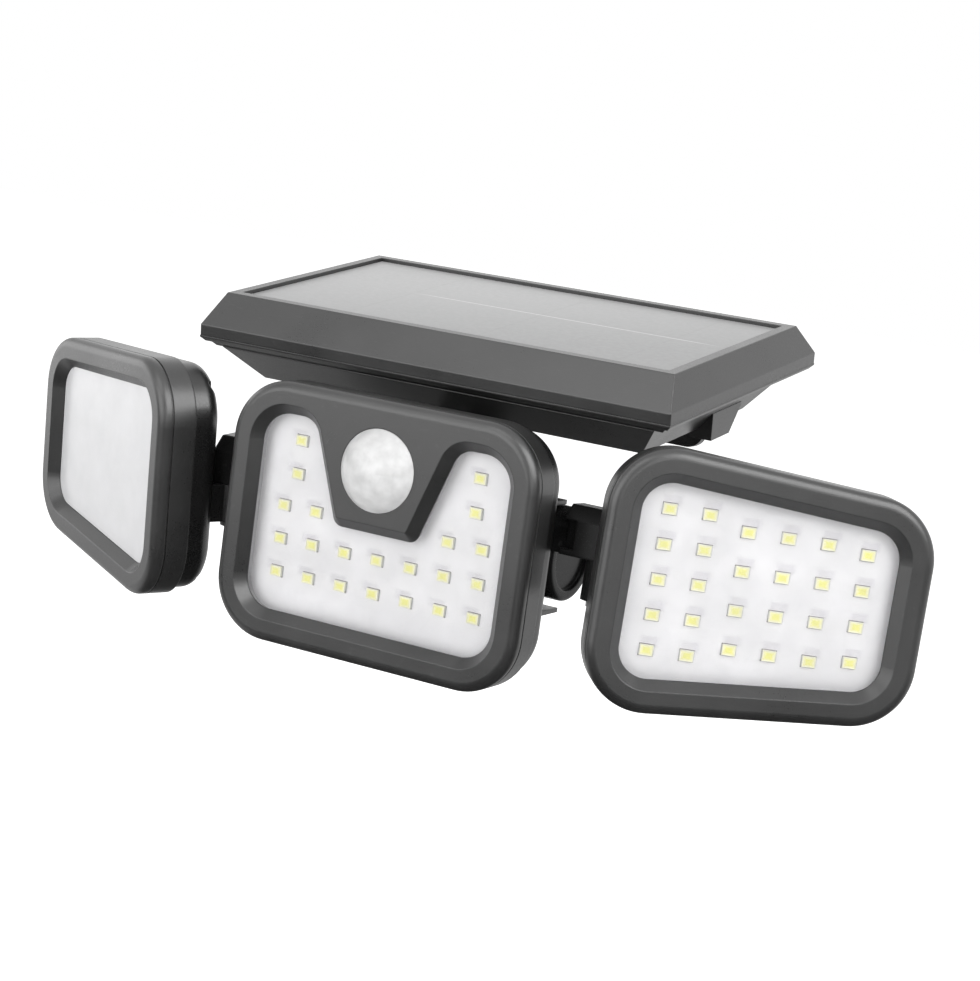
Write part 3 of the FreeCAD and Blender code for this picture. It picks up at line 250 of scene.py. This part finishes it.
def moulded(name, colour, roughness, gloss, grain=2600.0, depth=0.00002, edge=0.0004):
    """Spark-textured moulding: fine grain, faint cloudiness, uneven sheen and hairline scuffs."""
    shader = Shader(name, colour, roughness)
    shader.set("Specular IOR Level", gloss)
    shader.soften_edges(edge)
    cloud = shader.clouds(48.0, 3.0)
    dark, light = shades(colour, 0.22)
    fine = shader.noise(grain, 2.0)
    scuff = shader.spread(shader.noise(420.0, 4.0, (1, 9, 1)), 0.62, 0.72, 0, 1)
    dusty = shader.mix(shader.compute("MULTIPLY", scuff, 0.25), shader.mix(cloud, dark, light),
                       [channel * 2.2 + 0.004 for channel in colour])
    shader.link(dusty, "Base Color")
    sheen = shader.spread(fine, 0.25, 0.75, roughness - 0.06, roughness + 0.06)
    shader.link(shader.compute("ADD", sheen, shader.spread(cloud, 0, 1, -0.03, 0.03)), "Roughness")
    shader.bump(fine, depth, 0.6)
    return shader.material


def rubber(name, colour):
    shader = Shader(name, colour, 0.7)
    shader.soften_edges(0.0002)
    dark, light = shades(colour, 0.3)
    shader.link(shader.mix(shader.noise(300.0, 3.0), dark, light), "Base Color")
    shader.bump(shader.noise(3500.0, 2.0), 0.00002, 0.5)
    return shader.material


def metal(name, colour, roughness):
    """Turned or plated metal with brushing and faint tarnish."""
    shader = Shader(name, colour, roughness)
    shader.soften_edges(0.00015)
    shader.set("Metallic", 1.0)
    dark, light = shades(colour, 0.12)
    shader.link(shader.mix(shader.noise(220.0, 3.0), dark, light), "Base Color")
    brushed = shader.noise(900.0, 2.0, (1, 1, 6))
    shader.link(shader.spread(brushed, 0.3, 0.7, roughness * 0.7, roughness * 1.4), "Roughness")
    shader.bump(brushed, 0.00001, 0.4)
    return shader.material


def solder_mask(name, colour, swing):
    """Printed board: even mask with a soft unevenness and a fine orange-peel surface."""
    shader = Shader(name, colour, 0.38)
    dark, light = shades(colour, swing)
    shader.link(shader.mix(shader.clouds(70.0, 3.0), dark, light),
                "Base Color")
    shader.bump(shader.noise(900.0, 2.0), 0.00001, 0.4)
    return shader.material


def laminate():
    """Dark cells under resin, with a painted sheen that lightens them at a shallow angle and fades
    across the panel; also the strip between the two rows and the cells' cuts.
    """
    shader = Shader("solar_laminate", (0.1, 0.1, 0.1), 0.34)
    across = shader.add("ShaderNodeSeparateXYZ")
    shader.wire(shader.stretched((1000, 1000, 1000)), across, 0)
    x, y = across.outputs[0], across.outputs[1]
    # distance from the front edge along the panel
    depth = shader.compute("MULTIPLY", shader.compute("ADD", y, PANEL_FRONT_OUT),
                           1 / math.cos(PANEL_PITCH))
    strip = shader.band(depth, STRIP_AT, STRIP_HALF, STRIP_BLUR)
    within = shader.band(x, STRIP_MIDDLE, STRIP_REACH, STRIP_FADE)
    strip = shader.compute("MULTIPLY", strip, within)
    along = shader.compute("PINGPONG", shader.compute("ADD", x, CUT_START), CUT_PITCH / 2)
    cuts = shader.band(along, 0.0, CUT_HALF, CUT_BLUR)
    cell = shader.mix(shader.clouds(60.0, 3.0),
                      (0.045, 0.050, 0.058), (0.060, 0.064, 0.072))
    cell = shader.mix(shader.compute("MULTIPLY", cuts, 0.5), cell, (0.02, 0.02, 0.022))
    cell = shader.mix(strip, cell, (0.75, 0.75, 0.75))
    # painted sheen: the cells turn light grey at a shallow angle, lighter towards the back and left
    # of the panel
    grazing = shader.add("ShaderNodeLayerWeight")
    grazing.inputs["Blend"].default_value = 0.5
    sheen_share = shader.spread(grazing.outputs["Facing"], 0.35, 0.80, 0.0, 0.86, "SMOOTHSTEP")
    slope = shader.compute("ADD", shader.compute("MULTIPLY", x, 0.5),
                           shader.compute("MULTIPLY", depth, -1.0))
    painted_sheen = shader.mix(shader.spread(slope, -95.0, 10.0, 0, 1, "SMOOTHSTEP"),
                       (0.40, 0.40, 0.40), (0.25, 0.25, 0.25))
    grain = shader.clouds(1100.0, 3.0, 0.0, 0.12)
    painted_sheen = shader.mix(grain, painted_sheen, (0.22, 0.22, 0.22))
    painted_sheen = shader.mix(shader.compute("MULTIPLY", strip, 0.6), painted_sheen, (0.62, 0.62, 0.62))
    painted_sheen = shader.mix(shader.compute("MULTIPLY", cuts, 0.08), painted_sheen, (0.1, 0.1, 0.1))
    specks = shader.spread(shader.noise(700.0, 2.0), 0.74, 0.78, 0.0, 0.25)
    painted_sheen = shader.mix(specks, painted_sheen, (0.30, 0.30, 0.30))
    shader.link(shader.mix(sheen_share, cell, painted_sheen), "Base Color")
    shader.link(shader.clouds(700.0, 3.0, 0.36, 0.42), "Roughness")
    shader.bump(shader.noise(1500.0, 2.0), 0.000015, 0.5)
    return shader.material


def clear_lens():
    """Clear polycarbonate that turns milky at a shallow angle, with moulding blotches."""
    shader = Shader("clear_lens", (0.60, 0.60, 0.61), 0.22)
    weight = shader.add("ShaderNodeLayerWeight")
    weight.inputs["Blend"].default_value = 0.5
    veil = shader.spread(weight.outputs["Facing"], 0.36, 0.47, 0.12, 0.95, "SMOOTHSTEP")
    blotch = shader.spread(shader.noise(95.0, 3.0), 0.35, 0.7, 0.0, 0.07)
    shader.link(shader.compute("SUBTRACT", veil, blotch), "Alpha")
    tint = shader.clouds(130.0, 3.0)
    shader.link(shader.mix(tint, (0.59, 0.59, 0.60), (0.61, 0.61, 0.62)), "Base Color")
    return shader.material


def phosphor():
    """Yellow in the middle, pale cream towards the reflector walls; UV runs from -1 to 1."""
    shader = Shader("phosphor", (0.9, 0.87, 0.3), 0.45)
    parts = shader.add("ShaderNodeSeparateXYZ")
    shader.wire(shader.coordinates.outputs["UV"], parts, 0)
    sides = [shader.compute("ABSOLUTE", parts.outputs[i], 0.0) for i in (0, 1)]
    out = shader.compute("MAXIMUM", *sides)
    grain = shader.clouds(1900.0, 2.0, -0.12, 0.12)
    share = shader.spread(shader.compute("ADD", out, grain), 0.40, 0.95, 0, 1, "SMOOTHSTEP")
    shader.link(shader.mix(share, (0.92, 0.90, 0.27), (0.94, 0.92, 0.58)), "Base Color")
    return shader.material


def painted_ghost_material():
    """Painted reflection: a faint lavender ghost of an LED on the board, fading out at its rim; UV
    runs from -1 to 1.
    """
    shader = Shader("painted_led_ghost", (0.52, 0.47, 0.60), 0.5)
    parts = shader.add("ShaderNodeSeparateXYZ")
    shader.wire(shader.coordinates.outputs["UV"], parts, 0)
    fades = [shader.spread(shader.compute("ABSOLUTE", parts.outputs[i], 0.0), 0.45, 1.0, 1.0, 0.0,
                           "SMOOTHSTEP") for i in (0, 1)]
    uneven = shader.clouds(300.0, 2.0, 0.09, 0.15)
    shader.link(shader.compute("MULTIPLY", shader.compute("MULTIPLY", *fades), uneven), "Alpha")
    return shader.material


def sensor_milk():
    """Frosted white polyethylene that lets a little light through."""
    shader = Shader("sensor_lens", (0.50, 0.50, 0.50), 0.42)
    shader.set("Subsurface Weight", 0.25)
    shader.set("Subsurface Radius", (0.001, 0.001, 0.001))
    shader.link(shader.mix(shader.clouds(260.0, 3.0),
                           (0.48, 0.48, 0.48), (0.61, 0.61, 0.61)), "Base Color")
    shader.bump(shader.noise(1400.0, 2.0), 0.000012, 0.5)
    return shader.material


def painted_can(name, colour):
    shader = Shader(name, colour, 0.3)
    dark, light = shades(colour, 0.15)
    shader.link(shader.mix(shader.noise(90.0, 2.0), dark, light), "Base Color")
    shader.set("Coat Weight", 0.6)
    return shader.material


def dress(material, *names):
    for name in names:
        mesh = nodes_by_name[name].data
        mesh.materials.clear()
        mesh.materials.append(material)


def both(*endings):
    return ["right_" + ending for ending in endings] + ["left_" + ending for ending in endings]


def dress_nodes():
    housing = moulded("housing_plastic", (0.020, 0.020, 0.020), 0.34, 0.75)
    black = moulded("hinge_plastic", (0.009, 0.009, 0.009), 0.32, 0.75)
    gloss = moulded("knuckle_plastic", (0.009, 0.009, 0.009), 0.24, 0.12, 3200.0, 0.00001, 0.0008)
    dress(housing, "panel_frame", "panel_tray", "battery_cover", "centre_bezel", *both("bezel"))
    dress(black, "wall_bracket", "mount_arm", "hinge_bar", "centre_shell", "battery_holder",
          "switch_body", *both("shell"))
    dress(gloss, *both("tilt_knuckle"))
    dress(metal("screw_steel", (0.55, 0.55, 0.56), 0.3), "bracket_bolt", "bracket_nut",
          "bracket_washers", "battery_cover_screws", "tray_screws", "neck_screws", "bar_screws",
          "mount_arm_screws", "centre_case_screws", "pir_sensor",
          *both("case_screws", "tilt_screw", "swing_pin"))
    dress(solder_mask("white_board", (0.88, 0.875, 0.89), 0.02), "centre_board", *both("board"))
    dress(solder_mask("circuit_board", (0.03, 0.16, 0.07), 0.2), "charge_board")
    dress(painted_can("battery_can", (0.04, 0.18, 0.26)), "battery_cell")
    dress(rubber("seal_rubber", (0.01, 0.01, 0.01)), "centre_gasket", *both("gasket"))
    dress(rubber("button_rubber", (0.02, 0.02, 0.02)), "mode_button")
    dress(sensor_milk(), "pir_spacer")
    dress(laminate(), "solar_panel")
    dress(clear_lens(), "centre_lens", *both("lens"))


# ---------------------------------------------------------------- pieces
def head_place(side):
    """The matrix of a head's own frame: right, back and up from its board's face."""
    if side == "centre":
        return Matrix.Translation(CENTRE_HEAD * MM)
    tilt, swing = HEAD_ANGLES[side]
    sign = SIGN[side]
    pin = Vector((sign * PIN_OUT, -PIN_FORWARD, PIN_RISE))
    head = Vector((sign * HEAD_BESIDE_PIN, -HEAD_BEFORE_PIN, 0))
    return (Matrix.Translation(TILT_AXIS * MM) @ Matrix.Rotation(math.radians(-tilt), 4, "X")
            @ Matrix.Translation(pin * MM) @ Matrix.Rotation(math.radians(sign * swing), 4, "Z")
            @ Matrix.Translation(head * MM))


class Piece:
    """A mesh drawn in millimetres in a head's frame."""

    def __init__(self, name, place, materials):
        self.bm = bmesh.new()
        self.uv = self.bm.loops.layers.uv.new("pattern")
        self.name = name
        self.place = place
        self.materials = materials

    def rectangle(self, x, z, width, height, y):
        return [self.bm.verts.new((x + sx * width / 2, y, z + sz * height / 2))
                for sx, sz in CORNERS]

    def wall(self, ring_a, ring_b, material):
        count = len(ring_a)
        for i in range(count):
            j = (i + 1) % count
            face = self.bm.faces.new((ring_a[i], ring_a[j], ring_b[j], ring_b[i]))
            face.material_index = material
            for loop in face.loops:
                loop[self.uv].uv = (1, 1)

    def patch(self, ring, material):
        face = self.bm.faces.new(ring)
        face.material_index = material
        for loop, corner in zip(face.loops, CORNERS):
            loop[self.uv].uv = corner

    def frustum(self, x, z, width, height, y_back, y_front, slope, material):
        """A low block whose front is slope smaller on every side."""
        foot = self.rectangle(x, z, width, height, y_back)
        top = self.rectangle(x, z, width - 2 * slope, height - 2 * slope, y_front)
        self.wall(foot, top, material)
        self.patch(top, material)

    def finish(self, body, smooth=False):
        bmesh.ops.recalc_face_normals(self.bm, faces=self.bm.faces)
        mesh = bpy.data.meshes.new(self.name)
        for face in self.bm.faces:
            face.smooth = smooth
        bmesh.ops.transform(self.bm, verts=self.bm.verts,
                            matrix=self.place @ Matrix.Scale(MM, 4))
        self.bm.to_mesh(mesh)
        self.bm.free()
        for material in self.materials:
            mesh.materials.append(material)
        piece = bpy.data.objects.new(self.name, mesh)
        scene.collection.objects.link(piece)
        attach(piece, body)
        return piece


def centre_led_spots():
    spots = []
    for row, columns in ((0, (-3, -2, 2, 3)), (1, range(-3, 4)), (2, range(-3, 4))):
        spots += [(column * CENTRE_PITCH, -row * CENTRE_ROW_PITCH) for column in columns]
    for row in (1, 2):
        spots += [(side * CENTRE_TOP_ROWS_X, row * CENTRE_ROW_PITCH) for side in (-1, 1)]
    return spots


def side_led_spots(side):
    spots = []
    for column, (rows, pitch) in enumerate(SIDE_ROWS):
        x = SIGN[side] * (column - (len(SIDE_ROWS) - 1) / 2) * SIDE_PITCH
        spots += [(x, (row - (rows - 1) / 2) * pitch) for row in range(rows)]
    return spots


# places of the materials in a lamp cluster
PACKAGE, PHOSPHOR, TERMINAL, SOLDER_AND_SHADOW = range(4)


def draw_led(piece, x, z):
    """Solder outline with painted shadow, two metal terminals, and the package with its lip and
    phosphor.
    """
    piece.frustum(x, z, LED_WIDTH + 2 * OUTLINE, LED_HEIGHT + 2 * OUTLINE, 0, -OUTLINE_THICK,
                  OUTLINE_SLOPE, SOLDER_AND_SHADOW)
    for side in (-1, 1):
        piece.frustum(x + side * (LED_WIDTH / 2), z, 2 * TERMINAL_REACH, TERMINAL_HEIGHT,
                      -OUTLINE_THICK, -TERMINAL_THICK - OUTLINE_THICK, TERMINAL_SLOPE, TERMINAL)
    rings = [piece.rectangle(x, z, LED_WIDTH - inset, LED_HEIGHT - inset, y)
             for inset, y in ((0, 0), (LED_DRAFT, -LED_THICK), (2 * LED_LIP, -LED_THICK),
                              (WELL_TAPER * LED_LIP, LED_WELL - LED_THICK))]
    for ring_a, ring_b in zip(rings, rings[1:]):
        piece.wall(ring_a, ring_b, PACKAGE)
    piece.patch(rings[-1], PHOSPHOR)


def led_clusters():
    package = solder_mask("led_package", (0.93, 0.92, 0.76), 0.03)
    solder_and_shadow = solder_mask("solder_and_painted_shadow", (0.14, 0.13, 0.13), 0.2)
    tabs = metal("led_terminal", (0.62, 0.62, 0.62), 0.35)
    glow = phosphor()
    ghost_look = painted_ghost_material()
    for side in ("centre", "right", "left"):
        body = "lamp_body" if side == "centre" else side + "_head"
        spots = centre_led_spots() if side == "centre" else side_led_spots(side)
        place = head_place(side)
        lamps = Piece(side + "_lamp_cluster", place, [package, glow, tabs, solder_and_shadow])
        ghosts = Piece(side + "_painted_led_ghosts", place, [ghost_look])
        for x, z in spots:
            draw_led(lamps, x, z)
            # painted reflection ghost of this LED, offset per head
            ghosts.frustum(x + GHOST_ASIDE[side], z + GHOST_UP[side], GHOST_WIDTH, GHOST_HEIGHT,
                         -GHOST_BACK, -GHOST_FRONT, GHOST_SLOPE, 0)
        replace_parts(lamps.finish(body), side + "_leds")
        ghosts.finish(body)


def facet_centres():
    centres = []
    for count, out in FACET_RINGS:
        for i in range(count):
            turn = 2 * math.pi * (i + 0.5) / count
            centres.append(Vector((out * math.cos(turn), out * math.sin(turn))))
    return centres


def sensor_dome():
    """Faceted cap, skirt, flange and inner wall, turned about the sensor's axis."""
    ball = (DOME_RADIUS ** 2 + DOME_RISE ** 2) / (2 * DOME_RISE)
    rim_angle = math.asin(DOME_RADIUS / ball)
    middle = DOME_FRONT - DOME_RISE + ball
    centres = facet_centres()
    piece = Piece("sensor_dome", head_place("centre"), [sensor_milk()])

    def ring(radius, y):
        return [piece.bm.verts.new((radius * math.cos(2 * math.pi * j / DOME_COLUMNS), y,
                                    DOME_UP + radius * math.sin(2 * math.pi * j / DOME_COLUMNS)))
                for j in range(DOME_COLUMNS)]

    def cap_ring(share):
        ring_verts = []
        for j in range(DOME_COLUMNS):
            turn = 2 * math.pi * j / DOME_COLUMNS
            spot = Vector((share * math.cos(turn), share * math.sin(turn)))
            nearest = min((spot - centre).length for centre in centres)
            fade = min(1.0, (1 - share) * FACET_FADE)
            sink = fade * FACET_BULGE * min(1.0, (nearest / FACET_REACH) ** 2)
            radius = ball - sink
            angle = share * rim_angle
            ring_verts.append(piece.bm.verts.new((
                radius * math.sin(angle) * math.cos(turn), middle - radius * math.cos(angle),
                DOME_UP + radius * math.sin(angle) * math.sin(turn))))
        return ring_verts

    rings = [cap_ring(i / DOME_ROWS) for i in range(1, DOME_ROWS + 1)]
    rings += [ring(DOME_RADIUS, DOME_FLANGE_FRONT), ring(DOME_FLANGE_RADIUS, DOME_FLANGE_FRONT),
              ring(DOME_FLANGE_RADIUS, DOME_FLANGE_BACK),
              ring(DOME_RADIUS - DOME_WALL, DOME_FLANGE_BACK),
              ring(DOME_RADIUS - DOME_WALL, DOME_FRONT)]
    for i in range(DOME_ROWS, 0, -DOME_INNER_STEP):
        angle = i / DOME_ROWS * rim_angle
        radius = ball - DOME_WALL
        reach = radius * math.sin(angle)
        if reach < DOME_RADIUS - DOME_WALL:
            rings.append(ring(reach, middle - radius * math.cos(angle)))
    tip = piece.bm.verts.new((0, DOME_FRONT - DOME_RISE, DOME_UP))
    inner_tip = piece.bm.verts.new((0, DOME_FRONT - DOME_RISE + DOME_WALL, DOME_UP))
    for ring_a, ring_b in zip(rings, rings[1:]):
        piece.wall(ring_a, ring_b, 0)
    for point, end in ((tip, rings[0]), (inner_tip, rings[-1])):
        for j in range(DOME_COLUMNS):
            piece.bm.faces.new((point, end[j], end[(j + 1) % DOME_COLUMNS]))
    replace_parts(piece.finish("lamp_body", smooth=True), "pir_dome")


# ---------------------------------------------------------------- studio, in m
WORLD_LIGHT = 0.34           # what falls on matt faces from all round
WORLD_WHITE = 1.0            # what the camera, glossy faces and clear ones see
LIT_MIDDLE = Vector((0, -0.09, -0.02))
FLOOR_REACH = 5.0
FLOOR_HEIGHT = -0.32
FLOOR_PALE = (0.95, 0.95, 0.95)
FLOOR_IN_GLOSS = (0.02, 0.02, 0.02)
FLOOR_WHITE = 0.85           # glow that makes the floor white to the camera and clear faces
# how bright the floor is in glossy faces, and over which stretch it fades in
FLOOR_SHEEN = 0.85
FLOOR_BEHIND = (0.05, 0.40)
FLOOR_LEFT = (-0.34, -0.19)
FLOOR_FRONT = (-0.60, -0.30)
SOFTBOXES = (
    # name, azimuth and elevation in degrees, distance, size, radiance
    ("front_left", -24, 9, 1.3, (1.2, 0.9), 2.2),
    ("front_left_high", -18, 48, 1.3, (0.8, 0.7), 1.9),
    ("front_right", 36, 6, 1.4, (0.5, 0.7), 1.5),
    ("front_right_high", 70, 38, 1.3, (1.2, 1.0), 4.6),
    ("left", -90, 6, 1.4, (0.9, 0.8), 1.5),
    ("right_back", 152, -2, 1.4, (1.0, 0.5), 0.2),
    ("top", 10, 80, 1.3, (1.2, 1.0), 0.3),
    ("back_left", -156, 24, 1.4, (1.0, 0.8), 0.4),
)


def softbox(name, azimuth, elevation, distance, size, radiance):
    """An area light round the lamp: azimuth 0 is in front of it and 90 to its right."""
    turn = math.radians(azimuth)
    rise = math.radians(elevation)
    way = Vector((math.sin(turn) * math.cos(rise), -math.cos(turn) * math.cos(rise),
                  math.sin(rise)))
    place = LIT_MIDDLE + way * distance
    data = bpy.data.lights.new(name, "AREA")
    data.shape = "RECTANGLE"
    data.size, data.size_y = size
    data.energy = radiance * math.pi * size[0] * size[1]
    lamp = bpy.data.objects.new(name, data)
    lamp.location = place
    lamp.rotation_euler = (LIT_MIDDLE - place).to_track_quat("-Z", "Y").to_euler()
    scene.collection.objects.link(lamp)


def add_floor():
    mesh = bpy.data.meshes.new("floor")
    mesh.from_pydata([(x * FLOOR_REACH, y * FLOOR_REACH, FLOOR_HEIGHT) for x, y in CORNERS],
                     [], [(0, 1, 2, 3)])
    floor = bpy.data.objects.new("floor", mesh)
    scene.collection.objects.link(floor)
    pale = Shader("floor_white", FLOOR_PALE, 0.8)
    parts = pale.add("ShaderNodeSeparateXYZ")
    pale.wire(pale.places, parts, 0)
    path = pale.add("ShaderNodeLightPath")
    x, y = parts.outputs[0], parts.outputs[1]
    behind = pale.spread(y, *FLOOR_BEHIND, 0.0, FLOOR_SHEEN, "SMOOTHSTEP")
    left = pale.spread(x, *FLOOR_LEFT, FLOOR_SHEEN, 0.0, "SMOOTHSTEP")
    left = pale.compute("MULTIPLY", left, pale.spread(y, *FLOOR_FRONT, 0.0, 1.0, "SMOOTHSTEP"))
    mirrored = pale.compute("MULTIPLY", path.outputs["Is Glossy Ray"],
                        pale.compute("MAXIMUM", behind, left))
    seen = pale.compute("MAXIMUM", path.outputs["Is Camera Ray"], path.outputs["Is Transmission Ray"])
    seen = pale.compute("MULTIPLY", seen, FLOOR_WHITE)
    pale.set("Emission Color", (1, 1, 1, 1))
    pale.link(pale.compute("ADD", seen, mirrored), "Emission Strength")
    matt = pale.mix(path.outputs["Is Glossy Ray"], FLOOR_PALE, FLOOR_IN_GLOSS)
    pale.link(matt, "Base Color")
    pale.set("Specular IOR Level", 0.0)
    mesh.materials.append(pale.material)


def add_world():
    world = bpy.data.worlds.new("studio")
    scene.world = world
    world.use_nodes = True
    tree = world.node_tree
    tree.nodes.clear()
    output = tree.nodes.new("ShaderNodeOutputWorld")
    path = tree.nodes.new("ShaderNodeLightPath")
    blend = tree.nodes.new("ShaderNodeMixShader")
    seen = path.outputs["Is Camera Ray"]
    for ray in ("Is Glossy Ray", "Is Transmission Ray"):
        either = tree.nodes.new("ShaderNodeMath")
        either.operation = "MAXIMUM"
        tree.links.new(seen, either.inputs[0])
        tree.links.new(path.outputs[ray], either.inputs[1])
        seen = either.outputs[0]
    tree.links.new(seen, blend.inputs[0])
    for socket, strength in ((1, WORLD_LIGHT), (2, WORLD_WHITE)):
        light = tree.nodes.new("ShaderNodeBackground")
        light.inputs["Color"].default_value = (1, 1, 1, 1)
        light.inputs["Strength"].default_value = strength
        tree.links.new(light.outputs[0], blend.inputs[socket])
    tree.links.new(blend.outputs[0], output.inputs["Surface"])


def add_studio():
    add_floor()
    add_world()
    for box in SOFTBOXES:
        softbox(*box)


add_camera()
dress_nodes()
led_clusters()
sensor_dome()
add_studio()
